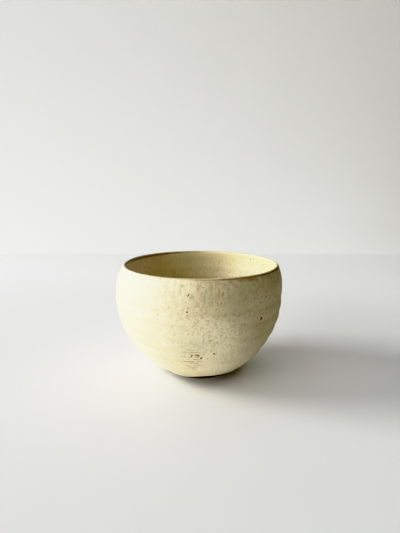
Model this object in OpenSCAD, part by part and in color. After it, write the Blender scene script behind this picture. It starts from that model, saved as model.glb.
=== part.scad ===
// Latte bowl, thrown on a wheel, turned, glazed in cream and fired.
// Millimetres, +Z up, origin on the table under the middle of the foot, the pictured front towards -Y.
//
// Two outlines carry the whole bowl: outer_form() is what lies inside the outside of the wall,
// and cavity_form() is the room for the drink. Both take the thickness of the glaze that lies on
// the clay, so each coat is the space between an outline with glaze and the same one without.

/* [Overall form] */
// Radius of the glazed bowl at its widest level
belly_r = 57.5; // [54:0.5:64]
// Height of the whole bowl
bowl_h = 77.5; // [68:0.5:88]
// Height of the neck, the part that turns in below the rim
neck_h = 16.5; // [13:0.5:20]
// Height of the upright side between the neck and the round base
side_h = 5.5; // [3:0.5:9]
// How far the rim lies inside the widest level
rim_turn_in = 3.6; // [2.6:0.1:5]

/* [Wall] */
// Thickness of the glazed wall at its widest level
wall_t = 4.2; // [3.4:0.1:4.6]
// Thickness of the glazed lip
lip_t = 2.5; // [2.4:0.1:3.2]
// Height of the glazed floor inside, above the table
floor_h = 8; // [7:0.5:12]
// Radius of the flat middle of the floor inside
floor_r = 15; // [10:0.5:22]

/* [Foot] */
// Outer radius of the foot ring where it meets the body
foot_r = 22; // [18:0.5:27]
// Height of the foot ring
foot_h = 2; // [1.4:0.1:2.2]
// Width of the foot ring
foot_w = 5; // [3:0.5:8]
// Width of the ledge that the bare clay of the body shows round the foot ring
foot_ledge = 0.8; // [0.2:0.1:1.5]
// How much narrower the foot ring is at the table than at its top
foot_taper = 0.5; // [0:0.1:1]
// Bevel along both edges of the face that the bowl stands on
foot_bevel = 0.5; // [0.2:0.1:0.8]
// Depth of the hollow that is turned into the underside, above the foot ring
hollow_d = 1.4; // [0.5:0.1:2.5]

/* [Throwing rings] */
// Height of the lowest finger groove round the outside
outer_ring_h = 26; // [20:0.5:32]
// Rise from one groove outside to the next
outer_ring_pitch = 9; // [7:0.5:14]
// Height of the lowest finger groove round the inside
inner_ring_h = 19; // [16:0.5:24]
// Rise from one groove inside to the next
inner_ring_pitch = 8.5; // [7:0.5:14]
// Height of the smooth band below the rim, which has no groove on either side
smooth_h = 15; // [12:0.5:30]
// Depth of a groove in the wall
ring_d = 0.25; // [0.1:0.05:0.4]
// Radius of the fingertip that drew the grooves
finger_r = 7; // [5:0.5:10]

/* [Glaze] */
// Thickness of the glaze, inside and outside
glaze_t = 0.4; // [0.25:0.05:0.6]
// Height above the table at which the outer glaze stops
glaze_line_h = 4.6; // [2.6:0.1:8]
// Radius of the thicker roll in which the outer glaze ends
glaze_roll_r = 0.55; // [0.45:0.05:0.7]
// Radius of bare clay at the bottom of the largest pit in the glaze
pit_r = 0.8; // [0.6:0.05:1.2]
// Thickness of the iron speck at the bottom of a pit
speck_t = 0.15; // [0.05:0.05:0.2]

/* [Hidden] */
$fn = 120;

// Colours of the fired clay, the glaze, the glaze where it breaks over the lip, and the iron
clay_brown = [0.36, 0.25, 0.15];
cream = [0.90, 0.86, 0.70];
rim_brown = [0.60, 0.49, 0.32];
iron_black = [0.16, 0.12, 0.08];

// Size of the areas that cut an outline, well beyond the bowl
reach = 3 * bowl_h;

// Each pit of the outside: turn from the front in degrees, height as a share of the bowl's,
// size as a share of the largest pit's
outer_pit_shares = [
    [42, 0.64, 1.0], [-6, 0.75, 0.6], [-6, 0.88, 0.5], [2, 0.92, 0.4], [13, 0.81, 0.5],
    [-5, 0.38, 0.6], [-1, 0.39, 0.7], [1.5, 0.36, 0.4], [10, 0.39, 0.5], [-56, 0.88, 0.4],
    [84, 0.37, 0.6], [121, 0.64, 0.8], [163, 0.39, 0.5], [205, 0.74, 0.6], [238, 0.26, 0.7],
    [281, 0.52, 0.5]
];
// The same for the pits of the inside
inner_pit_shares = [
    [131, 0.93, 0.6], [122, 0.92, 0.4], [114, 0.91, 0.5], [200, 0.62, 0.5], [331, 0.41, 0.6]
];
// Gap between a speck and the clay that it lies on
speck_seat = 0.01;
// Smallest distance of a pit from the middle of a finger groove, as a share of their pitch
pit_clear_share = 0.32;

// Radius of an arc that leaves an upright line and passes a point across and up from there
function arc_through(across, up) = (across * across + up * up) / (2 * across);
// Radius of an arc that leaves an upright line and rolls onto a round of radius r, whose middle
// lies across and up from there; r is negative where the round lies outside the arc
function arc_onto(across, up, r) = (across * across + up * up - r * r) / (2 * (across - r));
// Half-width of a circle of radius r at a level that lies rise away from its middle
function half_width(r, rise) = sqrt(r * r - rise * rise);

// Levels at which the upright side ends, above and below
shoulder_h = bowl_h - neck_h;
belly_h = shoulder_h - side_h;

// The lip: a full round of clay under the lip band
lip_r = lip_t / 2 - glaze_t;
lip_x = belly_r - rim_turn_in - lip_t / 2;
lip_h = bowl_h - lip_t / 2;

// Outside of the clay: base arc up to the widest level, upright side, arc that turns in to the lip
outer_r = belly_r - glaze_t;
base_arc_r = arc_through(outer_r - foot_r - foot_ledge, belly_h - foot_h);
base_arc_x = outer_r - base_arc_r;
side_arc_r = arc_onto(outer_r - lip_x, lip_h - shoulder_h, lip_r);
side_arc_x = outer_r - side_arc_r;

// Inside of the clay, in the same three stretches
inner_r = belly_r - wall_t + glaze_t;
clay_floor_h = floor_h - glaze_t;
bowl_arc_r = arc_through(inner_r - floor_r, belly_h - clay_floor_h);
bowl_arc_x = inner_r - bowl_arc_r;
neck_arc_r = arc_onto(inner_r - lip_x, lip_h - shoulder_h, -lip_r);
neck_arc_x = inner_r - neck_arc_r;

// Directions in which the glazes outside and inside end at the lip, from the middle of its round
outer_end = [lip_x - side_arc_x, lip_h - shoulder_h];
inner_end = [lip_x - neck_arc_x, lip_h - shoulder_h];
// Direction in which the outer glaze ends above the foot, from the middle of the base arc
base_end = [half_width(base_arc_r, belly_h - glaze_line_h), glaze_line_h - belly_h];

// The turned hollow inside the foot ring
foot_inner_r = foot_r - foot_w;
hollow_arc_r = arc_through(hollow_d, foot_inner_r);

// Point that lies off away from the middle side of an arc, level with height h on the arc
function off_arc(x, z, r, h, off) = [x, z] + [half_width(r, h - z), h - z] * (r + off) / r;
// Point that lies off outside the clay, square to it at height h
function beside_outside(h, off) =
    h < belly_h ? off_arc(base_arc_x, belly_h, base_arc_r, h, off)
    : h < shoulder_h ? [outer_r + off, h]
    : off_arc(side_arc_x, shoulder_h, side_arc_r, h, off);
// Point that lies off into the room inside, square to the clay at height h
function beside_inside(h, off) =
    h < belly_h ? off_arc(bowl_arc_x, belly_h, bowl_arc_r, h, -off)
    : h < shoulder_h ? [inner_r - off, h]
    : off_arc(neck_arc_x, shoulder_h, neck_arc_r, h, -off);

// Height h moved clear of grooves that start at height first, onto the ridge between two of them
function on_ridge(h, first, pitch) =
    let (n = floor((h - first) / pitch), place = (h - first) / pitch - n)
    first + pitch * (n + pit_clear_share + place * (1 - 2 * pit_clear_share));
// Radius of the round of a pit with its middle at the glaze surface, from its share of the largest
function pit_round(size) = norm([pit_r * size, glaze_t]);

// Everything inside the outer surface, half of it in section, with glaze on the clay
module outer_form(glaze) {
    difference() {
        union() {
            intersection() {
                translate([base_arc_x, belly_h]) circle(r = base_arc_r + glaze);
                square([reach, belly_h]);
            }
            translate([0, belly_h]) square([outer_r + glaze, shoulder_h - belly_h]);
            intersection() {
                translate([side_arc_x, shoulder_h]) circle(r = side_arc_r + glaze);
                translate([0, shoulder_h]) square([reach, reach]);
            }
        }
        for (h = [outer_ring_h : outer_ring_pitch : bowl_h - smooth_h])
            translate(beside_outside(h, finger_r - ring_d)) circle(r = finger_r - glaze);
    }
}

// The room inside the bowl, half of it in section, with glaze on the clay
module cavity_form(glaze) {
    intersection() {
        translate([bowl_arc_x, belly_h]) circle(r = bowl_arc_r - glaze);
        translate([0, clay_floor_h + glaze]) square([reach, belly_h - clay_floor_h - glaze]);
    }
    translate([0, belly_h]) square([inner_r - glaze, shoulder_h - belly_h]);
    intersection() {
        translate([neck_arc_x, shoulder_h]) circle(r = neck_arc_r - glaze);
        translate([0, shoulder_h]) square([reach, bowl_h - shoulder_h]);
    }
    for (h = [inner_ring_h : inner_ring_pitch : bowl_h - smooth_h])
        translate(beside_inside(h, finger_r - ring_d)) circle(r = finger_r - glaze);
}

// Area below a line that runs both ways from the point at x and h
module below(x, h, direction) {
    far = reach * direction / norm(direction);
    low = [0, -reach];
    middle = [x, h];
    polygon([middle - far, middle - far + low, middle + far + low, middle + far]);
}

// Area below the middle of the lip's round, up to where each glaze ends there
module under_lip() {
    below(lip_x, lip_h, outer_end);
    below(lip_x, lip_h, inner_end);
}

// Wall and floor of the thrown body, flat where the foot ring is joined on
module clay_section() {
    difference() {
        intersection() {
            outer_form(0);
            under_lip();
            translate([0, foot_h]) square([reach, bowl_h]);
        }
        cavity_form(0);
        translate([0, foot_h + hollow_d - hollow_arc_r]) circle(r = hollow_arc_r);
    }
    translate([lip_x, lip_h]) circle(r = lip_r);
}

// Outer glaze in section, from the lip down to the thicker roll in which it ends above the foot
module outer_coat() {
    difference() {
        intersection() {
            outer_form(glaze_t);
            under_lip();
        }
        below(base_arc_x, belly_h, base_end);
        outer_form(0);
    }
    difference() {
        translate(beside_outside(glaze_line_h, 0)) circle(r = glaze_roll_r);
        outer_form(0);
    }
}

// Inner glaze in section, from the lip down over the floor
module inner_coat() {
    intersection() {
        difference() {
            cavity_form(0);
            cavity_form(glaze_t);
        }
        under_lip();
    }
}

// Stands its children on a wall with their +Z square to it: turn is the angle from the front,
// foot a point of the clay in section, and head a point straight out from there
module on_wall(turn, foot, head) {
    away = head - foot;
    rotate([0, 0, turn - 90])
        translate([foot[0], 0, foot[1]])
            rotate([0, atan2(away[0], away[1]), 0])
                children();
}

// Stands its children at each pit of the outside, with $size set to the pit's share of the largest
module at_outer_pits() {
    for (p = outer_pit_shares) {
        h = on_ridge(p[1] * bowl_h, outer_ring_h, outer_ring_pitch);
        $size = p[2];
        on_wall(p[0], beside_outside(h, 0), beside_outside(h, glaze_t)) children();
    }
}

// The same for the pits of the inside
module at_inner_pits() {
    for (p = inner_pit_shares) {
        h = on_ridge(p[1] * bowl_h, inner_ring_h, inner_ring_pitch);
        $size = p[2];
        on_wall(p[0], beside_inside(h, 0), beside_inside(h, glaze_t)) children();
    }
}

// Round hole that a pit leaves in the glaze
module pit() {
    translate([0, 0, glaze_t]) sphere(r = pit_round($size));
}

// Drop of iron that fills the bottom of a pit
module speck() {
    translate([0, 0, speck_seat])
        cylinder(h = speck_t, r1 = pit_r * $size,
            r2 = half_width(pit_round($size), glaze_t - speck_seat - speck_t));
}

module clay_body() {
    color(clay_brown) rotate_extrude() clay_section();
}

// Ring of clay joined on under the body, narrower at the table, hollow inside
module foot_ring() {
    color(clay_brown) rotate_extrude() polygon([
        [foot_inner_r, foot_h],
        [foot_inner_r, foot_bevel],
        [foot_inner_r + foot_bevel, 0],
        [foot_r - foot_taper - foot_bevel, 0],
        [foot_r - foot_taper, foot_bevel],
        [foot_r, foot_h]
    ]);
}

module outer_glaze() {
    color(cream) difference() {
        rotate_extrude() outer_coat();
        at_outer_pits() pit();
    }
}

module inner_glaze() {
    color(cream) difference() {
        rotate_extrude() inner_coat();
        at_inner_pits() pit();
    }
}

// Thin glaze over the lip, where the iron of the clay shows through
module lip_band() {
    color(rim_brown) rotate_extrude() difference() {
        translate([lip_x, lip_h]) circle(r = lip_r + glaze_t);
        translate([lip_x, lip_h]) circle(r = lip_r);
        under_lip();
    }
}

// Iron that bled from the clay and lies at the bottom of each pit
module iron_specks() {
    color(iron_black) {
        at_outer_pits() speck();
        at_inner_pits() speck();
    }
}

clay_body();
foot_ring();
outer_glaze();
inner_glaze();
lip_band();
iron_specks();
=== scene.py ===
import math

import bmesh
import bpy
import numpy as np
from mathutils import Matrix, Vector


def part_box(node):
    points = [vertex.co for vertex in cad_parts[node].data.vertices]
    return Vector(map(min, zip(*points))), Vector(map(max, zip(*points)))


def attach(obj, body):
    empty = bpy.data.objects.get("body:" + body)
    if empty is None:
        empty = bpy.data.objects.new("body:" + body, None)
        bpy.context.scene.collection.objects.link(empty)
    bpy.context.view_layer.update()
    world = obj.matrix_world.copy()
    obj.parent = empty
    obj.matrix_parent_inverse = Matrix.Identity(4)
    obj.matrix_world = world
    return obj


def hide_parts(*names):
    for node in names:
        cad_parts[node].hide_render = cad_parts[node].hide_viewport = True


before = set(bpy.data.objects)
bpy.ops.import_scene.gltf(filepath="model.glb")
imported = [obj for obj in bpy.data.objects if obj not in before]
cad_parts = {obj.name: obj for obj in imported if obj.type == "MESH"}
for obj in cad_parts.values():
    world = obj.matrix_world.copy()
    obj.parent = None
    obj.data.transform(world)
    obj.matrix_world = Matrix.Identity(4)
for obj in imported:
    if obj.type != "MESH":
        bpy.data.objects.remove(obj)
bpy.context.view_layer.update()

MM = 0.001

# Sizes of the bowl: from the frame where it gives them
BELLY_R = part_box("outer_glaze")[1].x
BOWL_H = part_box("lip_band")[1].z
RIM_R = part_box("lip_band")[1].x
FOOT_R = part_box("foot_ring")[1].x
FOOT_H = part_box("foot_ring")[1].z
CLAY_FLOOR_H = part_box("inner_glaze")[0].z
NECK_H = 16.5 * MM
SIDE_H = 5.5 * MM
BELLY_H = BOWL_H - NECK_H - SIDE_H
WALL_T = 4.2 * MM
LIP_T = 2.5 * MM
GLAZE_T = 0.4 * MM
FLOOR_R = 15 * MM
FOOT_W = 5 * MM
FOOT_LEDGE = 0.8 * MM
HOLLOW_D = 1.4 * MM
GLAZE_LINE_H = 4.6 * MM
FOOT_BEVEL = 0.5 * MM
FOOT_TAPER = 0.5 * MM

# How the hand left the bowl: the belly stands a little to the left of foot and rim
BELLY_LEAN = -0.9 * MM
RIM_LEAN = 0.35 * MM
ROUND_ERROR = 0.25 * MM
RIM_DIP = 0.4 * MM
FRONT_DIP = 0.8 * MM
DIP_REACH = 26 * MM
FLAT_LEFT = 0.9 * MM
FLAT_RIGHT = 0.6 * MM
TOOL_LINES = 0.02 * MM
FOOT_WEAR = 0.05 * MM

# Steps of the grids along the wall and round it
ROW_STEP = 0.75 * MM
FINE_STEP = 0.16 * MM
COLUMNS = 480
COARSE_COLUMNS = 240

# A pit's depth as a share of the glaze's thickness and how round its bottom is, and the swell of
# glaze round it: its height as a share too, its middle and its width in reaches of the pit
PIT_D, PIT_ROUND = 0.9, 0.7
SWELL_T, SWELL_AT, SWELL_W = 0.18, 1.4, 0.35
# An iron drop's reach as a share of its pit's, and its thickness
DROP_R, DROP_T = 0.6, 0.12 * MM

# Pits of the glaze: turn in degrees, height, half-length, half-width, slant in degrees from level,
# and how deep and dark each is, as a share
OUTER_PITS = [
    (42, 49.6, 1.4, 1.25, 80, 1.0), (-6.2, 68.5, 1.4, 0.45, 62, 0.75), (-6.5, 58.2, 0.75, 0.65, 0, 0.85),
    (2, 72.8, 1.2, 0.5, 4, 0.4), (13, 63.5, 1.1, 0.8, 80, 0.42), (14, 69.5, 1.1, 0.6, 70, 0.4),
    (-5, 28.9, 1.4, 0.6, 70, 0.8), (-1, 29.4, 1.6, 0.7, -12, 0.95), (1.4, 27.4, 1.1, 0.7, 55, 0.95),
    (10, 30.4, 1.4, 0.55, -50, 0.85), (-7.5, 64, 0.5, 0.5, 0, 0.4), (-6, 47, 0.9, 0.7, 60, 0.35),
    (-56, 68, 0.8, 0.6, 20, 0.4), (84, 29, 0.8, 0.55, 10, 0.8), (121, 50, 0.9, 0.7, 50, 1.0),
    (163, 31, 0.7, 0.5, 0, 0.8), (205, 58, 0.8, 0.6, 30, 0.9), (238, 21, 0.9, 0.6, 15, 0.7),
    (281, 41, 0.7, 0.5, 60, 0.9), (184, 66, 0.9, 0.4, 80, 0.8), (316, 35, 0.7, 0.4, 20, 0.5),
]
INNER_PITS = [
    (131, 73.4, 0.8, 0.6, 70, 0.9), (122, 72.6, 0.8, 0.5, 10, 0.8), (114, 71.9, 0.9, 0.5, -8, 0.8),
    (200, 48, 0.8, 0.6, 30, 0.9), (331, 31, 0.8, 0.6, 0, 0.9), (152, 66, 0.6, 0.4, 0, 0.5),
    (40, 58, 0.7, 0.5, 40, 0.9),
]


# The section of the wall

def bell(x, middle, width):
    """A smooth hump, 1 at its middle."""
    return np.exp(-(((x - middle) / width) ** 2))


def arc_through(across, up):
    """Radius of an arc that leaves an upright line and passes a point across and up from there."""
    return (across**2 + up**2) / (2 * across)


def arc_onto(across, up, r):
    """Radius of an arc that leaves an upright line and rolls onto a round of radius r."""
    return (across**2 + up**2 - r**2) / (2 * (across - r))


def arc(x, z, r, start, end, step=0.1 * MM):
    """Points of an arc, from one angle to the other in radians."""
    a = np.linspace(start, end, max(3, int(abs(end - start) * r / step)))
    return np.stack([x + r * np.cos(a), z + r * np.sin(a)], 1)


def line(start, end, step=0.1 * MM):
    """Points of a straight line."""
    t = np.linspace(0, 1, max(3, int(math.dist(start, end) / step)))[:, None]
    return (1 - t) * np.array(start) + t * np.array(end)


def wall_section():
    """The clay's surface from the middle of the floor inside, over the lip, to the middle of the
    underside, as path length from the lip's crown, radius, height and outward direction."""
    outer_r, inner_r = BELLY_R - GLAZE_T, BELLY_R - WALL_T + GLAZE_T
    shoulder_h = BOWL_H - NECK_H
    lip_r, lip_x, lip_h = LIP_T / 2 - GLAZE_T, RIM_R - LIP_T / 2, BOWL_H - LIP_T / 2
    bowl_r = arc_through(inner_r - FLOOR_R, BELLY_H - CLAY_FLOOR_H)
    neck_r = arc_onto(inner_r - lip_x, lip_h - shoulder_h, -lip_r)
    neck_end = math.asin((lip_h - shoulder_h) / (neck_r + lip_r))
    side_r = arc_onto(outer_r - lip_x, lip_h - shoulder_h, lip_r)
    side_end = math.asin((lip_h - shoulder_h) / (side_r - lip_r))
    base_r = arc_through(outer_r - FOOT_R - FOOT_LEDGE, BELLY_H - FOOT_H)
    foot_inner_r = FOOT_R - FOOT_W
    hollow_r = arc_through(HOLLOW_D, foot_inner_r)
    up = math.pi / 2
    runs = [
        line((0, CLAY_FLOOR_H), (FLOOR_R, CLAY_FLOOR_H)),
        arc(inner_r - bowl_r, BELLY_H, bowl_r, -math.asin((BELLY_H - CLAY_FLOOR_H) / bowl_r), 0),
        line((inner_r, BELLY_H), (inner_r, shoulder_h)),
        arc(inner_r - neck_r, shoulder_h, neck_r, 0, neck_end),
        arc(lip_x, lip_h, lip_r, math.pi + neck_end, up, 0.02 * MM),
        arc(lip_x, lip_h, lip_r, up, side_end, 0.02 * MM),
        arc(outer_r - side_r, shoulder_h, side_r, side_end, 0),
        line((outer_r, shoulder_h), (outer_r, BELLY_H)),
        arc(outer_r - base_r, BELLY_H, base_r, 0, -math.asin((BELLY_H - FOOT_H) / base_r)),
        line((FOOT_R + FOOT_LEDGE, FOOT_H), (foot_inner_r, FOOT_H)),
        arc(0, FOOT_H + HOLLOW_D - hollow_r, hollow_r, math.acos(foot_inner_r / hollow_r), up),
    ]
    crown = sum(len(run) - 1 for run in runs[:5])
    points = np.concatenate([run[1:] if k else run for k, run in enumerate(runs)])
    length = np.concatenate([[0], np.cumsum(np.linalg.norm(np.diff(points, axis=0), axis=1))])
    length -= length[crown]
    along = np.gradient(points, length, axis=0)
    along /= np.linalg.norm(along, axis=1)[:, None]
    ends = {"lip_out": lip_r * (up - side_end), "lip_in": -lip_r * (up + neck_end)}
    return length, points[:, 0], points[:, 1], -along[:, 1], along[:, 0], ends


PATH_S, PATH_R, PATH_Z, PATH_NR, PATH_NZ, LIP_ENDS = wall_section()
CROWN = int(np.argmin(np.abs(PATH_S)))


def path_at_height(h, outside=True):
    """Path length at which the wall has height h."""
    if outside:
        return np.interp(-h, -PATH_Z[CROWN:], PATH_S[CROWN:])
    return np.interp(h, PATH_Z[:CROWN], PATH_S[:CROWN])


def lean(z):
    """Sideways shift of the wall at a height: none at the foot, most at the belly."""
    low = np.clip(z / BELLY_H, 0, 1)
    high = np.clip((z - BELLY_H) / (BOWL_H - BELLY_H), 0, 1)
    return BELLY_LEAN * np.sin(low * math.pi / 2) ** 2 + (RIM_LEAN - BELLY_LEAN) * high**1.5


def dip(turn, z):
    """How far the wall sinks towards its rim, most at the front."""
    share = np.clip((z - BOWL_H + DIP_REACH) / DIP_REACH, 0, 1)
    forward = (0.5 + 0.5 * np.cos(turn)) ** 2
    return (RIM_DIP + FRONT_DIP * forward) * share**2 * (3 - 2 * share)


def hand_error(s, turn, z):
    """How far the clay stands out from a true round, as two or three slow waves."""
    grow = np.clip(z / BOWL_H, 0, 1)
    waves = ROUND_ERROR * grow * (
        0.6 * np.sin(2 * turn + 0.7) + 0.3 * np.sin(3 * turn + 2.1 + s * 40)
        + 0.25 * np.sin(5 * turn + s * 90)
    )
    flat = FLAT_LEFT * bell(turn, -1.4, 0.7) * bell(z, 10 * MM, 7 * MM)
    return waves - flat - FLAT_RIGHT * bell(turn, 1.4, 0.6) * bell(z, 26 * MM, 10 * MM)


def place(s, turn, off):
    """Points that stand off from the clay at path length s and turn, with their directions."""
    r, z = np.interp(s, PATH_S, PATH_R), np.interp(s, PATH_S, PATH_Z)
    nr, nz = np.interp(s, PATH_S, PATH_NR), np.interp(s, PATH_S, PATH_NZ)
    out = off + hand_error(s, turn, z)
    r, z = np.maximum(r + nr * out, 0), z + nz * out
    points = np.stack([r * np.sin(turn) + lean(z), -r * np.cos(turn), z - dip(turn, z)], 1)
    return points, np.stack([nr * np.sin(turn), -nr * np.cos(turn), nz], 1)


# Meshes

def rows_between(start, end, fine_start=None):
    """Path lengths of the grid's rows, closer together from fine_start on."""
    stop = end if fine_start is None else fine_start
    rows = list(np.linspace(start, stop, 2 + int(abs(stop - start) / ROW_STEP)))
    if fine_start is not None:
        rows += list(np.linspace(stop, end, 2 + int(abs(end - stop) / FINE_STEP)))[1:]
    return rows


def sheet(name, loop, columns, pits=()):
    """Flat grid of turn, path length and standing-off, finer round each pit.
    loop is a list of (path length, standing-off) once round the section."""
    turns = np.linspace(-math.pi, math.pi, columns + 1)
    rows = len(loop)
    co = np.zeros((rows, columns + 1, 3))
    co[:, :, 0] = turns[None, :]
    co[:, :, 1:] = np.array(loop)[:, None, :]
    k = np.arange(rows - 1)[:, None] * (columns + 1) + np.arange(columns)[None, :]
    faces = np.stack([k, k + columns + 1, k + columns + 2, k + 1], -1).reshape(-1, 4)
    mesh = bpy.data.meshes.new(name)
    mesh.from_pydata(co.reshape(-1, 3).tolist(), [], faces.tolist())
    bm = bmesh.new()
    bm.from_mesh(mesh)
    for turn, s, reach in pits:
        r = np.interp(s, PATH_S, PATH_R)
        near = [
            f for f in bm.faces
            if f.calc_center_median().z > 0
            and abs(f.calc_center_median().y - s) < reach
            and abs(f.calc_center_median().x - turn) * r < reach
        ]
        edges = list({e for f in near for e in f.edges})
        bmesh.ops.subdivide_edges(bm, edges=edges, cuts=3, use_grid_fill=True)
    bm.to_mesh(mesh)
    bm.free()
    return mesh


def points_of(mesh):
    """A mesh's points, one to a row."""
    co = np.zeros(len(mesh.vertices) * 3)
    mesh.vertices.foreach_get("co", co)
    return co.reshape(-1, 3)


def new_piece(name, mesh):
    """Object from a mesh, put into the scene."""
    piece = bpy.data.objects.new(name, mesh)
    bpy.context.scene.collection.objects.link(piece)
    return piece


def finished(name, mesh, sharp, merge=False):
    """Piece with its faces turned outward and shaded smooth, but for edges sharper than an angle in
    degrees. Merging joins the points that fall together where a sheet meets itself."""
    bm = bmesh.new()
    bm.from_mesh(mesh)
    if merge:
        bmesh.ops.remove_doubles(bm, verts=bm.verts, dist=0.002 * MM)
    bmesh.ops.recalc_face_normals(bm, faces=bm.faces)
    bm.to_mesh(mesh)
    bm.free()
    for face in mesh.polygons:
        face.use_smooth = True
    mesh.set_sharp_from_angle(angle=math.radians(sharp))
    return new_piece(name, mesh)


def pit_depth(s, turn, pits):
    """How deep each point lies in a pit, 0 to 1, and how far up the swell round it."""
    deep, swell = np.zeros_like(s), np.zeros_like(s)
    for at, s0, long_r, short_r, slant, share in pits:
        r = np.interp(s0, PATH_S, PATH_R)
        du, dv = (turn - at) * r, s - s0
        c, d = math.cos(slant), math.sin(slant)
        along, across = (du * c - dv * d) / long_r, (du * d + dv * c) / short_r
        far = np.sqrt(along**2 + across**2)
        deep = np.maximum(deep, share * np.clip(1 - far**2, 0, 1) ** PIT_ROUND)
        swell = np.maximum(swell, share * bell(far, SWELL_AT, SWELL_W))
    return deep, swell


def roll_up(name, mesh, shape=None, pits=()):
    """Rolls a flat sheet up into the bowl. shape(turn, s, off) may move a point first."""
    turn, s, off = points_of(mesh).T.copy()
    if shape:
        s, off = shape(turn, s, off)
    deep, swell = pit_depth(s, turn, pits)
    front = off > GLAZE_T / 2
    off = np.where(front, off - PIT_D * GLAZE_T * deep + SWELL_T * GLAZE_T * swell, off)
    points, out = place(s, turn, off)
    mesh.vertices.foreach_set("co", points.reshape(-1))
    deep, swell = np.where(front, deep, 0), np.where(front, swell, 0)
    for label, values in (("pit", deep), ("swell", swell), ("path", s)):
        mesh.attributes.new(label, "FLOAT", "POINT").data.foreach_set("value", values)
    unrolled = np.stack([BELLY_R * np.cos(turn), BELLY_R * np.sin(turn), s], 1)
    for label, values in (("unrolled", unrolled), ("out", out)):
        mesh.attributes.new(label, "FLOAT_VECTOR", "POINT").data.foreach_set("vector", values.reshape(-1))
    return finished(name, mesh, 60, merge=True)


# Node helpers

def add(tree, kind, inputs=None, **settings):
    """Adds a node. An input is given a value, or a socket to be linked from."""
    node = tree.nodes.new(kind)
    for key, value in settings.items():
        setattr(node, key, value)
    for key, value in (inputs or {}).items():
        if isinstance(value, bpy.types.NodeSocket):
            tree.links.new(value, node.inputs[key])
        else:
            node.inputs[key].default_value = value
    return node


def calc(tree, operation, *values):
    """Output of a Math node."""
    return add(tree, "ShaderNodeMath", dict(enumerate(values)), operation=operation).outputs[0]


def noise(tree, spot, scale, detail=2.0, roughness=0.5):
    """Output of a Noise Texture."""
    settings = {"Vector": spot, "Scale": scale, "Detail": detail, "Roughness": roughness}
    return add(tree, "ShaderNodeTexNoise", settings).outputs[0]


def stretched(tree, spot, across, along):
    """Output: a place on the unrolled wall, counted in features of a width and a length."""
    wide, long = calc(tree, "DIVIDE", 1.0, across), calc(tree, "DIVIDE", 1.0, along)
    each = add(tree, "ShaderNodeCombineXYZ", {"X": wide, "Y": wide, "Z": long}).outputs[0]
    return add(tree, "ShaderNodeVectorMath", {0: spot, 1: each}, operation="MULTIPLY").outputs[0]


def shade(tree, value, low, high):
    """Output: a value's range from low to high spread out to 0..1, with soft ends."""
    settings = {"Value": value, "From Min": low, "From Max": high}
    return add(tree, "ShaderNodeMapRange", settings, interpolation_type="SMOOTHSTEP").outputs[0]


def new_group(name, kind, inputs, outputs):
    """Node group with named sockets: (name, type, default) going in, (name, type) coming out."""
    group = bpy.data.node_groups.new(name, kind)
    for label, socket, default in inputs:
        made = group.interface.new_socket(label, in_out="INPUT", socket_type="NodeSocket" + socket)
        if default is not None:
            made.default_value = default
    for label, socket in outputs:
        group.interface.new_socket(label, in_out="OUTPUT", socket_type="NodeSocket" + socket)
    return group, group.nodes.new("NodeGroupInput").outputs, group.nodes.new("NodeGroupOutput").inputs


# Throwing rings

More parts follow.
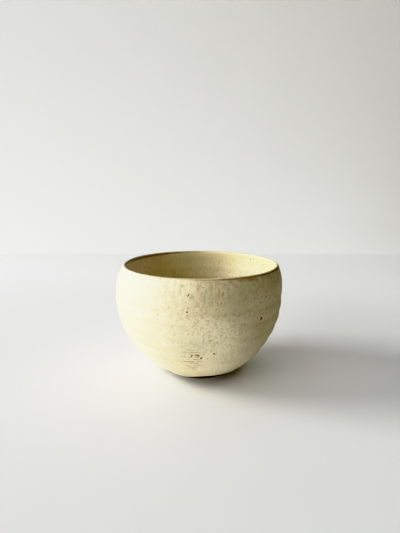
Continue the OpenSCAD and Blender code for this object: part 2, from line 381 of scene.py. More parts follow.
def throwing_rings_tree():
    """Geometry Nodes: presses the finger's grooves into a wall along its path, as a slow spiral."""
    group, given, out = new_group(
        "throwing_rings", "GeometryNodeTree",
        [
            ("Geometry", "Geometry", None), ("First Groove", "Float", 0.0), ("Groove Pitch", "Float", 0.01),
            ("Groove Depth", "Float", 0.0), ("Start", "Float", 0.0), ("End", "Float", 1.0),
            ("Fade", "Float", 0.005), ("Unevenness", "Float", 0.3), ("Seed", "Float", 0.0),
            ("Material", "Material", None),
        ],
        [("Geometry", "Geometry")],
    )
    path = add(group, "GeometryNodeInputNamedAttribute", {"Name": "path"}, data_type="FLOAT").outputs[0]
    away = add(group, "GeometryNodeInputNamedAttribute", {"Name": "out"}, data_type="FLOAT_VECTOR").outputs[0]
    point = add(group, "GeometryNodeInputPosition").outputs[0]
    split = add(group, "ShaderNodeSeparateXYZ", {"Vector": point})
    turn = calc(group, "ARCTAN2", split.outputs["X"], split.outputs["Y"])
    # The path climbs by one pitch in one turn of the wheel
    above = calc(group, "SUBTRACT", path, given["First Groove"])
    climbed = calc(group, "DIVIDE", above, given["Groove Pitch"])
    spiral = calc(group, "ADD", climbed, calc(group, "DIVIDE", turn, math.tau))
    wave = calc(group, "COSINE", calc(group, "MULTIPLY", spiral, math.tau))
    pressed = calc(group, "POWER", calc(group, "MULTIPLY_ADD", wave, 0.5, 0.5), 2.0)
    rise = shade(group, path, given["Start"], calc(group, "ADD", given["Start"], given["Fade"]))
    fall = shade(group, path, given["End"], calc(group, "SUBTRACT", given["End"], given["Fade"]))
    slow = add(
        group, "ShaderNodeTexNoise", {"Vector": point, "W": given["Seed"], "Scale": 28.0, "Detail": 1.0},
        noise_dimensions="4D",
    ).outputs[0]
    much = calc(group, "MULTIPLY", given["Unevenness"], 4.0)
    uneven = calc(group, "MULTIPLY_ADD", calc(group, "SUBTRACT", slow, 0.5), much, 1.0)
    pressed = calc(group, "MULTIPLY", pressed, uneven)
    groove = calc(group, "MULTIPLY", pressed, calc(group, "MULTIPLY", rise, fall))
    depth = calc(group, "MULTIPLY", groove, calc(group, "MULTIPLY", given["Groove Depth"], -1.0))
    offset = add(group, "ShaderNodeVectorMath", {0: away, "Scale": depth}, operation="SCALE").outputs[0]
    marked = add(
        group, "GeometryNodeStoreNamedAttribute",
        {"Geometry": given["Geometry"], "Name": "groove", "Value": groove}, data_type="FLOAT",
    ).outputs[0]
    moved = add(group, "GeometryNodeSetPosition", {"Geometry": marked, "Offset": offset}).outputs[0]
    whole = add(group, "GeometryNodeRealizeInstances", {"Geometry": moved}).outputs[0]
    made = {"Geometry": whole, "Material": given["Material"]}
    painted = add(group, "GeometryNodeSetMaterial", made).outputs[0]
    group.links.new(painted, out["Geometry"])
    return group


def run_nodes(piece, group, **values):
    """Runs a node tree on a piece and keeps the result as its plain mesh."""
    modifier = piece.modifiers.new(group.name, "NODES")
    modifier.node_group = group
    sockets = {s.name: s.identifier for s in group.interface.items_tree if s.in_out == "INPUT"}
    for label, value in values.items():
        modifier[sockets[label.replace("_", " ")]] = value
    dg = bpy.context.evaluated_depsgraph_get()
    made = bpy.data.meshes.new_from_object(piece.evaluated_get(dg), depsgraph=dg)
    made.name = piece.name
    piece.modifiers.remove(modifier)
    old, piece.data = piece.data, made
    bpy.data.meshes.remove(old)
    return piece


# Pieces

def glaze_line(turn):
    """How far below its even line the outer glaze ends, along the wall: it ran down furthest at
    the left of the front, and stopped early where the potter held the foot, at the right."""
    return MM * (
        2.6 * bell(turn, -0.9, 0.45) - 6.2 * bell(turn, 0.07, 0.3) - 4.9 * bell(turn, 0.58, 0.35)
        + 0.25 * np.sin(3 * turn + 1) + 0.12 * np.sin(11 * turn)
    )


LINE_S = float(path_at_height(GLAZE_LINE_H))
RUN_LENGTH = 16 * MM
ROLL_T, ROLL_AT, ROLL_W = 0.28 * MM, 0.75 * MM, 0.6 * MM
END_R = 0.5 * MM
BURIED = 0.05 * MM


def outer_end(turn, s, off):
    """Lets the outer glaze run down to its wavy line and swell into a roll there."""
    left = LINE_S - s
    share = np.clip(1 - left / RUN_LENGTH, 0, 1)
    moved = s + share**2 * (3 - 2 * share) * glaze_line(turn)
    roll = ROLL_T * bell(left, ROLL_AT, ROLL_W)
    rounding = np.sqrt(np.clip(1 - (1 - np.clip(left / END_R, 0, 1)) ** 2, 0, 1))
    front = off > GLAZE_T / 2
    return moved, np.where(front, (off + roll) * rounding - BURIED * (1 - rounding), off)


def pit_list(pits, outside):
    """Pits in radians and metres, with their places along the wall's path."""
    return [
        (math.radians(turn if turn <= 180 else turn - 360), float(path_at_height(h * MM, outside)),
         long_r * MM, short_r * MM, math.radians(slant), share)
        for turn, h, long_r, short_r, slant, share in pits
    ]


def refine(pits):
    """Where a sheet is made finer: a pit's turn and path length, and the reach round it."""
    return [(turn, s, 1.5 * long_r + 0.6 * MM) for turn, s, long_r, short_r, slant, share in pits]


def coat_loop(front, back_rows=24):
    """Section of a coat: its face along the given rows, and its back, buried in the clay."""
    back = np.linspace(front[-1], front[0], back_rows)
    return [(s, GLAZE_T) for s in front] + [(s, -BURIED) for s in back] + [(front[0], GLAZE_T)]


def make_outer_glaze():
    """The cream coat outside, from the lip down to its wavy line above the foot."""
    pits = pit_list(OUTER_PITS, True)
    rows = rows_between(LIP_ENDS["lip_out"], LINE_S, LINE_S - 2.4 * MM)
    mesh = sheet("outer_glaze_dressed", coat_loop(rows), COLUMNS, refine(pits))
    return roll_up("outer_glaze_dressed", mesh, outer_end, pits)


def make_inner_glaze():
    """The cream coat inside, from the middle of the floor up to the lip."""
    pits = pit_list(INNER_PITS, False)
    rows = rows_between(PATH_S[0], LIP_ENDS["lip_in"])
    mesh = sheet("inner_glaze_dressed", coat_loop(rows), COLUMNS, refine(pits))
    return roll_up("inner_glaze_dressed", mesh, None, pits)


def make_lip_band():
    """The thin glaze over the round of the lip, between the two coats."""
    rows = list(np.linspace(LIP_ENDS["lip_in"], LIP_ENDS["lip_out"], 25))
    mesh = sheet("lip_band_dressed", coat_loop(rows, 8), COLUMNS)
    return roll_up("lip_band_dressed", mesh)


def make_clay_body():
    """The thrown clay under the glaze, floor and hollow underside included."""
    rows = rows_between(PATH_S[0], PATH_S[-1])
    mesh = sheet("clay_body_dressed", [(s, 0) for s in rows], COARSE_COLUMNS)
    return roll_up("clay_body_dressed", mesh)


def make_foot_ring():
    """The ring under the body: a worn, bevelled section with the turning tool's lines."""
    inner = FOOT_R - FOOT_W
    corners = [
        (inner, FOOT_H), (inner, FOOT_BEVEL), (inner + FOOT_BEVEL, 0),
        (FOOT_R - FOOT_TAPER - FOOT_BEVEL, 0), (FOOT_R - FOOT_TAPER, FOOT_BEVEL), (FOOT_R, FOOT_H),
    ]
    sides = zip(corners, corners[1:] + corners[:1])
    ring = np.concatenate([line(a, b, 0.12 * MM)[:-1] for a, b in sides])
    for _ in range(3):
        ring[1:-1] = (ring[:-2] + 2 * ring[1:-1] + ring[2:]) / 4
    turns = np.linspace(0, math.tau, COARSE_COLUMNS, endpoint=False)
    rng = np.random.default_rng(7)
    lines = np.cumsum(rng.normal(0, 1, len(ring)))
    lines = (lines - np.convolve(lines, np.ones(9) / 9, "same")) * TOOL_LINES
    low = ring[:, 1] < FOOT_H * 0.9
    centre = ring.mean(0)
    away = ring - centre
    away /= np.linalg.norm(away, axis=1)[:, None]
    points = []
    for turn in turns:
        wear = FOOT_WEAR * (math.sin(3 * turn + 0.5) + 0.5 * math.sin(7 * turn))
        p = ring + away * ((lines + wear) * low)[:, None]
        p[:, 1] = np.maximum(p[:, 1], 0)
        points += [(r * math.sin(turn), -r * math.cos(turn), z) for r, z in p]
    n, m = len(turns), len(ring)
    faces = [
        (i * m + j, i * m + (j + 1) % m, (i + 1) % n * m + (j + 1) % m, (i + 1) % n * m + j)
        for i in range(n) for j in range(m)
    ]
    mesh = bpy.data.meshes.new("foot_ring_dressed")
    mesh.from_pydata(points, [], faces)
    return finished("foot_ring_dressed", mesh, 40)


# Iron specks

def iron_specks_tree():
    """Geometry Nodes: drops of melted iron, scattered over a coat's face between its pits."""
    group, given, out = new_group(
        "iron_specks", "GeometryNodeTree",
        [
            ("Geometry", "Geometry", None), ("Density", "Float", 1000.0), ("Spacing", "Float", 0.003),
            ("Smallest", "Float", 0.0001), ("Largest", "Float", 0.0003), ("Flatness", "Float", 0.3),
            ("Seed", "Int", 1), ("Material", "Material", None),
        ],
        [("Geometry", "Geometry")],
    )
    drop = add(group, "GeometryNodeMeshIcoSphere", {"Radius": 1.0, "Subdivisions": 2}).outputs["Mesh"]
    flat = add(group, "ShaderNodeCombineXYZ", {"X": 1.0, "Y": 1.0, "Z": given["Flatness"]}).outputs[0]
    drop = add(group, "GeometryNodeTransform", {"Geometry": drop, "Scale": flat}).outputs[0]
    face = add(group, "GeometryNodeInputNamedAttribute", {"Name": "face"}, data_type="FLOAT").outputs[0]
    spread = add(
        group, "GeometryNodeDistributePointsOnFaces",
        {"Mesh": given["Geometry"], "Distance Min": given["Spacing"], "Density Max": given["Density"],
         "Density Factor": face, "Seed": given["Seed"]},
        distribute_method="POISSON",
    )
    size = add(
        group, "FunctionNodeRandomValue",
        {"Min": given["Smallest"], "Max": given["Largest"], "Seed": given["Seed"]}, data_type="FLOAT",
    ).outputs[1]
    placed = add(
        group, "GeometryNodeInstanceOnPoints",
        {"Points": spread.outputs["Points"], "Instance": drop, "Rotation": spread.outputs["Rotation"],
         "Scale": size},
    ).outputs[0]
    whole = add(group, "GeometryNodeRealizeInstances", {"Geometry": placed}).outputs[0]
    smooth = add(group, "GeometryNodeSetShadeSmooth", {"Geometry": whole}).outputs[0]
    made = {"Geometry": smooth, "Material": given["Material"]}
    painted = add(group, "GeometryNodeSetMaterial", made).outputs[0]
    group.links.new(painted, out["Geometry"])
    return group


def speck_field(piece):
    """Copy of a coat that tells its face between the pits, for specks to be scattered over."""
    mesh = piece.data.copy()
    pit = np.zeros(len(mesh.vertices))
    mesh.attributes["pit"].data.foreach_get("value", pit)
    mesh.attributes.new("face", "FLOAT", "POINT").data.foreach_set("value", (pit < 0.01).astype(float))
    return new_piece("speck_field", mesh)


def pit_drops(piece, pits, name, material):
    """A drop of iron at the bottom of each pit, flattened along the wall."""
    co = points_of(piece.data)
    bm = bmesh.new()
    for turn, s, long_r, short_r, slant, share in pits:
        off = (1 - PIT_D * share) * GLAZE_T
        target, out = place(np.array([s]), np.array([turn]), np.array([off]))
        near = co[np.argmin(np.linalg.norm(co - target[0], axis=1))]
        up = out[0]
        level = np.array([math.cos(turn), math.sin(turn), 0])
        steep = np.cross(up, level)
        first = math.cos(slant) * level + math.sin(slant) * steep
        second = np.cross(up, first)
        made = bmesh.ops.create_icosphere(bm, subdivisions=2, radius=1)
        for v in made["verts"]:
            p = np.array(v.co)
            flat = p[0] * long_r * first + p[1] * short_r * second
            v.co = near + DROP_R * share**1.5 * flat + p[2] * DROP_T * share * up
    mesh = bpy.data.meshes.new(name)
    bm.to_mesh(mesh)
    bm.free()
    for face in mesh.polygons:
        face.use_smooth = True
    mesh.materials.append(material)
    return new_piece(name, mesh)


def join(pieces, name):
    """One object from several."""
    with bpy.context.temp_override(active_object=pieces[0], selected_editable_objects=pieces):
        bpy.ops.object.join()
    pieces[0].name = pieces[0].data.name = name
    return pieces[0]


def make_iron_specks(outer, inner, material):
    """All the iron as one piece: the scattered specks and the drops in the pits."""
    tree = iron_specks_tree()
    fields = [
        run_nodes(
            speck_field(piece), tree, Density=density, Spacing=2.2 * MM, Smallest=0.06 * MM,
            Largest=0.2 * MM, Flatness=0.4, Seed=seed, Material=material,
        )
        for piece, density, seed in ((outer, 2600.0, 3), (inner, 3000.0, 8))
    ]
    drops = [
        pit_drops(outer, pit_list(OUTER_PITS, True), "outer_drops", material),
        pit_drops(inner, pit_list(INNER_PITS, False), "inner_drops", material),
    ]
    return join(drops + fields, "iron_specks_dressed")


# Finishes

def turn_at(tree, spot):
    """Output: turn from the front, in radians, of a place."""
    split = add(tree, "ShaderNodeSeparateXYZ", {"Vector": spot}).outputs
    return calc(tree, "ARCTAN2", split["X"], calc(tree, "MULTIPLY", split["Y"], -1.0))


def hump(tree, value, middle, width):
    """Output: a smooth hump of a value, 1 at its middle."""
    away = calc(tree, "DIVIDE", calc(tree, "SUBTRACT", value, middle), width)
    return calc(tree, "EXPONENT", calc(tree, "MULTIPLY", calc(tree, "MULTIPLY", away, away), -1.0))


def round_hump(tree, turn, middle, width):
    """Output: a smooth hump of a turn, without a seam at the back."""
    away = calc(tree, "COSINE", calc(tree, "SUBTRACT", turn, middle))
    slope = calc(tree, "DIVIDE", 2.0, calc(tree, "MULTIPLY", width, width))
    return calc(tree, "EXPONENT", calc(tree, "MULTIPLY", calc(tree, "SUBTRACT", away, 1.0), slope))


def iron_break_group():
    """Where the glaze lies thin over the lip and the clay's iron breaks through it. The line
    swings from outside the lip to inside it round the bowl, and nearly fades out at one turn."""
    group, given, out = new_group(
        "iron_break", "ShaderNodeTree",
        [
            ("Half Width", "Float", 0.00042), ("Swing", "Float", 0.0011), ("Lowest Turn", "Float", 0.8),
            ("Faded Turn", "Float", -0.7), ("Faded Width", "Float", 0.95), ("Faded Back", "Float", 2.75),
            ("Raggedness", "Float", 0.0006), ("Softness", "Float", 0.00036), ("Shaded Turn", "Float", -2.0),
        ],
        [("Mask", "Float"), ("Core", "Float"), ("Dabs", "Float"), ("Lip Shade", "Float")],
    )
    path = add(group, "ShaderNodeAttribute", attribute_name="path").outputs["Fac"]
    spot = add(group, "ShaderNodeTexCoord").outputs["Object"]
    turn = turn_at(group, spot)
    ragged = noise(group, spot, 300.0, 4.0, 0.6)
    broad = noise(group, spot, 40.0, 2.0)
    swing = calc(group, "COSINE", calc(group, "SUBTRACT", turn, given["Lowest Turn"]))
    middle = calc(group, "MULTIPLY", swing, given["Swing"])
    far = calc(group, "ABSOLUTE", calc(group, "SUBTRACT", path, middle))
    moved = calc(
        group, "MULTIPLY_ADD", calc(group, "SUBTRACT", calc(group, "ADD", ragged, broad), 1.0),
        given["Raggedness"], far,
    )
    faded = calc(
        group, "MAXIMUM", round_hump(group, turn, given["Faded Turn"], given["Faded Width"]),
        round_hump(group, turn, given["Faded Back"], 0.6),
    )
    there = calc(group, "SUBTRACT", 1.0, faded)
    strong = calc(group, "MULTIPLY_ADD", there, 0.7, 0.3)
    half = calc(group, "MULTIPLY", given["Half Width"], strong)
    edge = calc(group, "DIVIDE", calc(group, "SUBTRACT", half, moved), given["Softness"])
    mask = calc(group, "MULTIPLY", shade(group, edge, -1.0, 1.0), strong)
    core = calc(group, "MULTIPLY", shade(group, edge, 0.2, 1.8), there)
    # Dabs of brown lie just outside the lip, right of the front; painted shade, a grey crescent, lies just
    # inside it at the left
    near = calc(group, "MULTIPLY", hump(group, path, 0.0024, 0.0013), hump(group, turn, 0.5, 0.32))
    dabs = calc(group, "MULTIPLY", near, shade(group, noise(group, spot, 150.0, 3.0), 0.38, 0.6))
    shaded_side = round_hump(group, turn, given["Shaded Turn"], 0.5)
    lip_shade = calc(group, "MULTIPLY", hump(group, path, -0.0013, 0.001), shaded_side)
    for label, value in (("Mask", mask), ("Core", core), ("Dabs", dabs), ("Lip Shade", lip_shade)):
        group.links.new(value, out[label])
    return group


def mottle_group():
    """The cream glaze's own drawing: short upright streaks, broad patches, fine grain, the level
    marks that turning left under it, and its relief."""
    group, given, out = new_group(
        "glaze_mottle", "ShaderNodeTree",
        [
            ("Streak Width", "Float", 0.002), ("Streak Length", "Float", 0.003),
            ("Patch Size", "Float", 0.018), ("Grain Size", "Float", 0.0015),
            ("Mark Length", "Float", 0.006), ("Mark Pitch", "Float", 0.0021), ("Run Width", "Float", 0.0016),
            ("Run Length", "Float", 0.008), ("Blot Pitch", "Float", 0.0048),
        ],
        [
            ("Streak", "Float"), ("Patch", "Float"), ("Grain", "Float"), ("Marks", "Float"),
            ("Runs", "Float"), ("Blots", "Float"), ("Height", "Float"),
        ],
    )
    spot = add(group, "ShaderNodeTexCoord").outputs["Object"]
    wall = add(group, "ShaderNodeAttribute", attribute_name="unrolled").outputs["Vector"]
    drawn = stretched(group, wall, given["Streak Width"], given["Streak Length"])
    streak = noise(group, drawn, 1.0, 4.0, 0.6)
    patch = noise(group, spot, calc(group, "DIVIDE", 1.0, given["Patch Size"]), 3.0)
    grain = noise(group, spot, calc(group, "DIVIDE", 1.0, given["Grain Size"]), 3.0, 0.7)
    # The turning tool's level lines, bent and broken
    bend = noise(group, stretched(group, wall, given["Mark Length"], given["Mark Length"]), 1.0, 3.0)
    path = add(group, "ShaderNodeSeparateXYZ", {"Vector": wall}).outputs["Z"]
    step = calc(group, "MULTIPLY_ADD", bend, 1.2, calc(group, "DIVIDE", path, given["Mark Pitch"]))
    wave = calc(group, "COSINE", calc(group, "MULTIPLY", step, math.tau))
    lines = calc(group, "MULTIPLY_ADD", wave, 0.5, 0.5)
    gaps = noise(group, stretched(group, wall, given["Mark Length"], given["Mark Pitch"]), 1.0, 2.0)
    broken = shade(group, gaps, 0.35, 0.55)
    marks = calc(group, "MULTIPLY", lines, broken)
    runs = noise(group, stretched(group, wall, given["Run Width"], given["Run Length"]), 1.0, 3.0)
    bent = add(group, "ShaderNodeVectorMath", {
        0: stretched(group, wall, given["Blot Pitch"], given["Blot Pitch"]),
        1: calc(group, "MULTIPLY", streak, 0.25),
    }, operation="ADD").outputs[0]
    cells = add(group, "ShaderNodeTexVoronoi", {"Vector": bent, "Scale": 1.0}).outputs
    some = shade(group, add(group, "ShaderNodeSeparateColor", {"Color": cells["Color"]}).outputs[0], 0.3, 0.8)
    blots = calc(group, "MULTIPLY", shade(group, cells["Distance"], 0.3, 0.08), some)
    relief = calc(group, "MULTIPLY_ADD", grain, 0.5, calc(group, "MULTIPLY", streak, 0.5))
    for label, value in (
        ("Streak", streak), ("Patch", patch), ("Grain", grain), ("Marks", marks), ("Runs", runs),
        ("Blots", blots), ("Height", relief),
    ):
        group.links.new(value, out[label])
    return group


def blend(tree, fac, a, b):
    """Output of a colour mix: from a to b by fac."""
    node = add(tree, "ShaderNodeMix", data_type="RGBA")
    # A Mix node has sockets for other types too, so the colour's are found by their places
    for k, value in ((0, fac), (6, a), (7, b)):
        if isinstance(value, bpy.types.NodeSocket):
            tree.links.new(value, node.inputs[k])
        else:
            node.inputs[k].default_value = value
    return node.outputs[2]


def laid(tree, base, mask, strength, over):
    """Output: a colour laid over another where a mask has it, at a strength."""
    return blend(tree, calc(tree, "MULTIPLY", mask, strength), base, over)


def colour(r, g, b):
    """An opaque colour."""
    return (r, g, b, 1.0)


CREAM = colour(0.80, 0.72, 0.54)
INSIDE_CREAM = colour(0.80, 0.735, 0.575)
# Painted light: a warmer cream laid where light falls, on the lit left outside and the lit right inside near
# the lip
LIT_SIDE_CREAM = colour(0.82, 0.72, 0.44)
PALE = colour(0.93, 0.87, 0.67)
OLIVE = colour(0.48, 0.42, 0.25)
GREY_GREEN = colour(0.60, 0.60, 0.44)
BEIGE = colour(0.55, 0.48, 0.30)
BLOT_OLIVE = colour(0.44, 0.36, 0.18)
RED_BROWN = colour(0.38, 0.27, 0.16)
BREAK_BROWN = colour(0.30, 0.19, 0.08)
BREAK_DARK = colour(0.12, 0.075, 0.035)
# Painted shade: the grey laid inside the lip at the left, where it lies in shade
LIP_SHADE_GREY = colour(0.36, 0.355, 0.34)
# Painted shade: a bluer grey laid on the inside at the left, where it lies in shade
SHADE_TINT_CREAM = colour(0.80, 0.70, 0.80)
# The clay's own brown, partly painted shade: darkened towards black for the shade under the bowl
CLAY = colour(0.085, 0.052, 0.029)
CLAY_DARK = colour(0.032, 0.019, 0.010)
CLAY_PALE = colour(0.22, 0.145, 0.085)
IRON = colour(0.075, 0.042, 0.02)


def zone(turn, h, turn_reach, reach, outside=True):
    """Middle and reach of a stretch of a glaze: turns in degrees, height and reach in mm."""
    return math.radians(turn), math.radians(turn_reach), float(path_at_height(h * MM, outside)), reach * MM


# Where turning left level marks, where runs hang below the rim, and where the speckling is dense
MARKS = zone(-6, 24, 7, 9)
RUNS = zone(6, 70, 28, 9)
SPECKLED = zone(22, 58, 40, 30)

# Tones laid over a coat, paler and more olive stretches: zone, strength, tone. The rows marked below are
# painted light and shade
OUTSIDE_TONES = [
    # Painted light: the lit left side laid a warmer cream
    (zone(-64, 52, 38, 42), 0.9, LIT_SIDE_CREAM),
    # Painted light: the front below the belly paler, where light comes back from the table
    (zone(12, 38, 22, 20), 0.7, PALE),
    # Painted light: the lowest front paler, where light comes back from the table
    (zone(22, 15, 20, 9), 0.7, PALE),
    (zone(17, 62, 17, 11), 0.5, OLIVE),
    # Painted shade: the right side, turned from the light, laid olive
    (zone(37, 42, 13, 15), 0.4, OLIVE),
    # Painted shade: the right edge, away from the light, laid olive
    (zone(76, 42, 22, 24), 0.5, OLIVE),
    (zone(55, 73, 38, 9), 0.3, OLIVE),
    (zone(-4, 35, 9, 9), 0.55, GREY_GREEN),
]
# These two lie across the lip, in radians and path lengths
# The first is warmer glaze near the lip, laid on the lit right side only: partly the glaze, partly painted
# light
NEAR_LIP = (1.85, 0.8, -4 * MM, 9 * MM)
# The second is painted shade: the inside at the left, where it lies in shade
SHADED_INSIDE_LEFT = (-1.9, 0.7, -5 * MM, 13 * MM)
INSIDE_TONES = [
    # Partly painted light: warmer near the lip, on the lit right side only
    (NEAR_LIP, 0.85, LIT_SIDE_CREAM),
    # Painted shade: the inside at the left laid a bluer grey
    (SHADED_INSIDE_LEFT, 0.5, SHADE_TINT_CREAM),
    # Painted light: the inner back wall paler low down, where light reaches deeper
    (zone(154, 57, 20, 5, False), 0.95, PALE),
    # Painted shade: the top of the inner back wall darker, under the rim's overhang
    (zone(180, 71.5, 28, 4.5, False), 0.4, OLIVE),
]


def new_material(name):
    """Material with a Principled shader."""
    material = bpy.data.materials.new(name)
    material.use_nodes = True
    tree = material.node_tree
    tree.nodes.clear()
    shader = add(tree, "ShaderNodeBsdfPrincipled")
    output = add(tree, "ShaderNodeOutputMaterial")
    tree.links.new(shader.outputs[0], output.inputs[0])
    return material, tree, shader


def within(tree, turn, turn_reach, path, reach):
    """Output: how much a point of the wall lies within a zone, 1 in its middle. Turns in radians."""
    here = add(tree, "ShaderNodeTexCoord").outputs["Object"]
    along = add(tree, "ShaderNodeAttribute", attribute_name="path").outputs["Fac"]
    sideways = round_hump(tree, turn_at(tree, here), turn, turn_reach)
    return calc(tree, "MULTIPLY", sideways, hump(tree, along, path, reach))


def cream_material(name, mottle, iron_break, cream, tones, marked=False):
    """Cream matte glaze that breaks brown at the lip and lies thin in its pits, with tones laid
    over its zones. A marked one has the runs, the dense speckling and the level marks too."""
    material, tree, shader = new_material(name)
    drawing = add(tree, "ShaderNodeGroup", node_tree=mottle).outputs
    lip = add(tree, "ShaderNodeGroup", node_tree=iron_break).outputs
    pit = add(tree, "ShaderNodeAttribute", attribute_name="pit").outputs["Fac"]
    halo = add(tree, "ShaderNodeAttribute", attribute_name="swell").outputs["Fac"]
    groove = add(tree, "ShaderNodeAttribute", attribute_name="groove").outputs["Fac"]
    pale = shade(tree, drawing["Patch"], 0.48, 0.68)
    green = calc(tree, "SUBTRACT", 1.0, shade(tree, drawing["Patch"], 0.32, 0.48))
    blotchy = 1.0 if marked else 0.5
    base = laid(tree, cream, pale, 0.5 * blotchy, PALE)
    base = laid(tree, base, green, 0.45 * blotchy, GREY_GREEN)
    base = laid(tree, base, groove, 0.15, OLIVE)
    for where, strength, tone in tones:
        base = laid(tree, base, within(tree, *where), strength, tone)
    speckled = 0.34
    if marked:
        speckled = calc(tree, "MULTIPLY_ADD", within(tree, *SPECKLED), 0.62, 0.2)
        runs = calc(tree, "MULTIPLY", shade(tree, drawing["Runs"], 0.45, 0.65), within(tree, *RUNS))
        base = laid(tree, base, runs, 0.55, OLIVE)
    streak = calc(tree, "MULTIPLY", shade(tree, drawing["Streak"], 0.5, 0.64), 0.6)
    grain = calc(tree, "MULTIPLY", shade(tree, drawing["Grain"], 0.5, 0.64), 0.9)
    base = laid(tree, base, streak, speckled, OLIVE)
    base = laid(tree, base, grain, speckled, BEIGE)
    base = laid(tree, base, drawing["Blots"], speckled, BLOT_OLIVE)
    if marked:
        marks = calc(tree, "MULTIPLY", shade(tree, drawing["Marks"], 0.45, 0.8), within(tree, *MARKS))
        base = laid(tree, base, marks, 0.95, BREAK_BROWN)
    base = laid(tree, base, halo, 0.35, PALE)
    base = laid(tree, base, lip["Dabs"], 0.8, RED_BROWN)
    base = blend(tree, lip["Mask"], base, BREAK_BROWN)
    base = blend(tree, lip["Core"], base, BREAK_DARK)
    # Painted shade: a grey crescent inside the lip at the left
    base = blend(tree, lip["Lip Shade"], base, LIP_SHADE_GREY)
    base = blend(tree, shade(tree, pit, 0.05, 0.9), base, BREAK_DARK)
    tree.links.new(base, shader.inputs["Base Color"])
    tree.links.new(calc(tree, "MULTIPLY_ADD", drawing["Grain"], 0.2, 0.5), shader.inputs["Roughness"])
    shader.inputs["Specular IOR Level"].default_value = 0.3
    bump = add(tree, "ShaderNodeBump", {"Height": drawing["Height"], "Strength": 0.35, "Distance": 0.00025})
    tree.links.new(bump.outputs[0], shader.inputs["Normal"])
    return material


def gritty_group():
    """Bare stoneware: tone, open grit and turned lines, and their relief."""
    group, given, out = new_group(
        "gritty_clay", "ShaderNodeTree",
        [("Grit Size", "Float", 0.0006), ("Line Pitch", "Float", 0.0009)],
        [("Tone", "Float"), ("Grit", "Float"), ("Height", "Float")],
    )
    spot = add(group, "ShaderNodeTexCoord").outputs["Object"]
    tone = noise(group, spot, 120.0, 4.0)
    grains = calc(group, "DIVIDE", 1.0, given["Grit Size"])
    grit = add(group, "ShaderNodeTexVoronoi", {"Vector": spot, "Scale": grains}).outputs["Distance"]
    split = add(group, "ShaderNodeSeparateXYZ", {"Vector": spot}).outputs
    square = calc(group, "MULTIPLY", split["Y"], split["Y"])
    square = calc(group, "MULTIPLY_ADD", split["X"], split["X"], square)
    outward = calc(group, "ADD", calc(group, "SQRT", square), split["Z"])
    lines = calc(group, "DIVIDE", calc(group, "MULTIPLY", outward, math.tau), given["Line Pitch"])
    lines = calc(group, "SINE", lines)
    relief = calc(group, "MULTIPLY_ADD", lines, 0.3, calc(group, "MULTIPLY_ADD", tone, 0.6, grit))
    for label, value in (("Tone", tone), ("Grit", grit), ("Height", relief)):
        group.links.new(value, out[label])
    return group


def clay_material(name, gritty, pale):
    """Bare brown stoneware, dull and gritty, with a share of pale grit."""
    material, tree, shader = new_material(name)
    drawing = add(tree, "ShaderNodeGroup", node_tree=gritty).outputs
    base = blend(tree, shade(tree, drawing["Tone"], 0.35, 0.65), CLAY_DARK, CLAY)
    base = laid(tree, base, shade(tree, drawing["Grit"], 0.45, 0.8), pale, CLAY_PALE)
    tree.links.new(base, shader.inputs["Base Color"])
    tree.links.new(calc(tree, "MULTIPLY_ADD", drawing["Tone"], 0.2, 0.7), shader.inputs["Roughness"])
    shader.inputs["Specular IOR Level"].default_value = 0.25
    bump = add(tree, "ShaderNodeBump", {"Height": drawing["Height"], "Strength": 0.5, "Distance": 0.00015})
    tree.links.new(bump.outputs[0], shader.inputs["Normal"])
    return material


def iron_material():
    """Melted iron: nearly black, a little glossy, brown where it thins."""
    material, tree, shader = new_material("melted_iron")
    spot = add(tree, "ShaderNodeTexCoord").outputs["Object"]
    tone = noise(tree, spot, 900.0)
    base = blend(tree, shade(tree, tone, 0.4, 0.7), IRON, BREAK_BROWN)
    tree.links.new(base, shader.inputs["Base Color"])
    tree.links.new(calc(tree, "MULTIPLY_ADD", tone, 0.3, 0.35), shader.inputs["Roughness"])
    return material


# The bowl
mottle, iron_break, gritty = mottle_group(), iron_break_group(), gritty_group()
cream_outside = cream_material("cream_glaze_outside", mottle, iron_break, CREAM, OUTSIDE_TONES, marked=True)
cream_inside = cream_material("cream_glaze_inside", mottle, iron_break, INSIDE_CREAM, INSIDE_TONES)
rim = cream_material("rim_glaze", mottle, iron_break, CREAM, INSIDE_TONES)
clay = clay_material("bare_clay", gritty, 0.5)
foot_clay = clay_material("turned_foot", gritty, 0.7)
iron = iron_material()

rings = throwing_rings_tree()
outer_glaze = make_outer_glaze()
inner_glaze = make_inner_glaze()
lip_band = make_lip_band()
clay_body = make_clay_body()
foot_ring = make_foot_ring()

OUTER_RINGS = dict(
    First_Groove=float(path_at_height(62 * MM)), Groove_Pitch=9.2 * MM, Groove_Depth=0.3 * MM,
    Start=float(path_at_height(66 * MM)), End=float(path_at_height(14 * MM)), Fade=9 * MM,
    Unevenness=0.35, Seed=4.0,
)
INNER_RINGS = dict(
    First_Groove=float(path_at_height(61.5 * MM, False)), Groove_Pitch=8.5 * MM, Groove_Depth=0.25 * MM,
    Start=float(path_at_height(12 * MM, False)), End=float(path_at_height(68 * MM, False)), Fade=8 * MM,
    Unevenness=0.35, Seed=9.0,
)
run_nodes(outer_glaze, rings, Material=cream_outside, **OUTER_RINGS)
run_nodes(clay_body, rings, Material=clay, **OUTER_RINGS)
run_nodes(inner_glaze, rings, Material=cream_inside, **INNER_RINGS)
run_nodes(clay_body, rings, Material=clay, **INNER_RINGS)
lip_band.data.materials.append(rim)
foot_ring.data.materials.append(foot_clay)
iron_specks = make_iron_specks(outer_glaze, inner_glaze, iron)

for piece, node, slot in (
    (outer_glaze, "outer_glaze", "cream_glaze"), (inner_glaze, "inner_glaze", "cream_glaze"),
    (lip_band, "lip_band", "rim_glaze"), (clay_body, "clay_body", "stoneware"),
    (foot_ring, "foot_ring", "stoneware"), (iron_specks, "iron_specks", "iron"),
):
    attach(piece, "root")
    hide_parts(node)


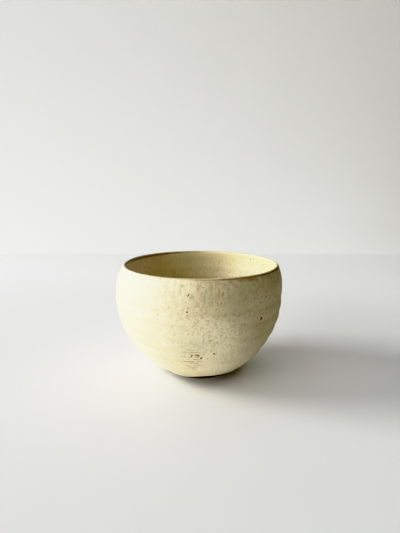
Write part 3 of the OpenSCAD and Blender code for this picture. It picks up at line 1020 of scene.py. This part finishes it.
# Table, wall and light

def plain_material(name, rgb, rough):
    """One even colour."""
    material, tree, shader = new_material(name)
    shader.inputs["Base Color"].default_value = colour(*rgb)
    shader.inputs["Roughness"].default_value = rough
    shader.inputs["Specular IOR Level"].default_value = 0.3
    return material


def plane(name, corners, material):
    """A flat face of the room, which isn't part of the bowl."""
    mesh = bpy.data.meshes.new(name)
    mesh.from_pydata(corners, [], [(0, 1, 2, 3)])
    mesh.materials.append(material)
    piece = new_piece(name, mesh)
    return piece


# The table and the wall are small and the room beyond them is dark, so little light comes back
WALL_Y = 0.535
LEFT, RIGHT, FRONT, TOP = -0.9, 0.46, -0.5, 0.62
table = plane(
    "table", [(LEFT, FRONT, 0), (RIGHT, FRONT, 0), (RIGHT, WALL_Y, 0), (LEFT, WALL_Y, 0)],
    plain_material("pale_table", (0.91, 0.92, 0.93), 0.5),
)
wall = plane(
    "wall", [(LEFT, WALL_Y, 0), (RIGHT, WALL_Y, 0), (RIGHT, WALL_Y, TOP), (LEFT, WALL_Y, TOP)],
    plain_material("pale_wall", (0.87, 0.87, 0.855), 0.8),
)


LIGHT_DISTANCE = 6.0


def soft_light(name, turn, rise, width, height, watts):
    """Area light far off, seen from the bowl at a turn from the front and a rise above level."""
    turn, rise, far = math.radians(turn), math.radians(rise), LIGHT_DISTANCE
    spot = Vector((
        far * math.sin(turn) * math.cos(rise), -far * math.cos(turn) * math.cos(rise), far * math.sin(rise),
    ))
    light = bpy.data.lights.new(name, "AREA")
    light.shape = "RECTANGLE"
    light.size, light.size_y = width, height
    light.energy = watts
    lamp = bpy.data.objects.new(name, light)
    lamp.location = spot
    lamp.rotation_euler = (Vector((0, 0, BOWL_H / 2)) - spot).to_track_quat("-Z", "Y").to_euler()
    bpy.context.scene.collection.objects.link(lamp)


soft_light("side_light", -95, 25, 2.6, 2.2, 262)
soft_light("front_light", -54, 12, 5.4, 2.6, 337)
soft_light("top_light", 0, 89, 9.0, 9.0, 148)
soft_light("fill_light", 76, 16, 2.4, 2.4, 15)

# The world itself gives no light
world = bpy.data.worlds.new("dark_room")
world.use_nodes = True
world.node_tree.nodes["Background"].inputs["Strength"].default_value = 0.0
bpy.context.scene.world = world

# Camera, as fitted to the photo: metres, and degrees below level
PHOTO_LONG_SIDE = 533
FOCAL_PIXELS = 400
CAMERA_SPOT = (0.0, -0.2753, 0.1252)
CAMERA_DOWN = 10.59
SENSOR = 36
camera_data = bpy.data.cameras.new("camera")
camera_data.sensor_width = SENSOR
camera_data.lens = SENSOR * FOCAL_PIXELS / PHOTO_LONG_SIDE
camera_data.clip_start = 0.01
camera_data.clip_end = 20
camera = bpy.data.objects.new("camera", camera_data)
camera.location = CAMERA_SPOT
camera.rotation_euler = (math.radians(90 - CAMERA_DOWN), 0, 0)
bpy.context.scene.collection.objects.link(camera)
bpy.context.scene.camera = camera

# The photo's tones: deep, warm shade and soft highlights, as light in the scene against light shown
LIGHT_SHOWN = [
    (0.05, 0.005), (0.1, 0.033), (0.19, 0.118), (0.3, 0.22), (0.5, 0.45), (0.8, 0.8), (1.0, 0.9),
    (1.5, 0.965),
]
BLACK = (0.0, 0.007, 0.03)
BRIGHTEST = 2.0
view = bpy.context.scene.view_settings
view.view_transform = "Standard"
view.use_curve_mapping = True
tone = view.curve_mapping
tone.black_level = BLACK
tone.white_level = (BRIGHTEST, BRIGHTEST, BRIGHTEST)
for light, shown in LIGHT_SHOWN:
    tone.curves[3].points.new(light / BRIGHTEST, shown)
tone.update()
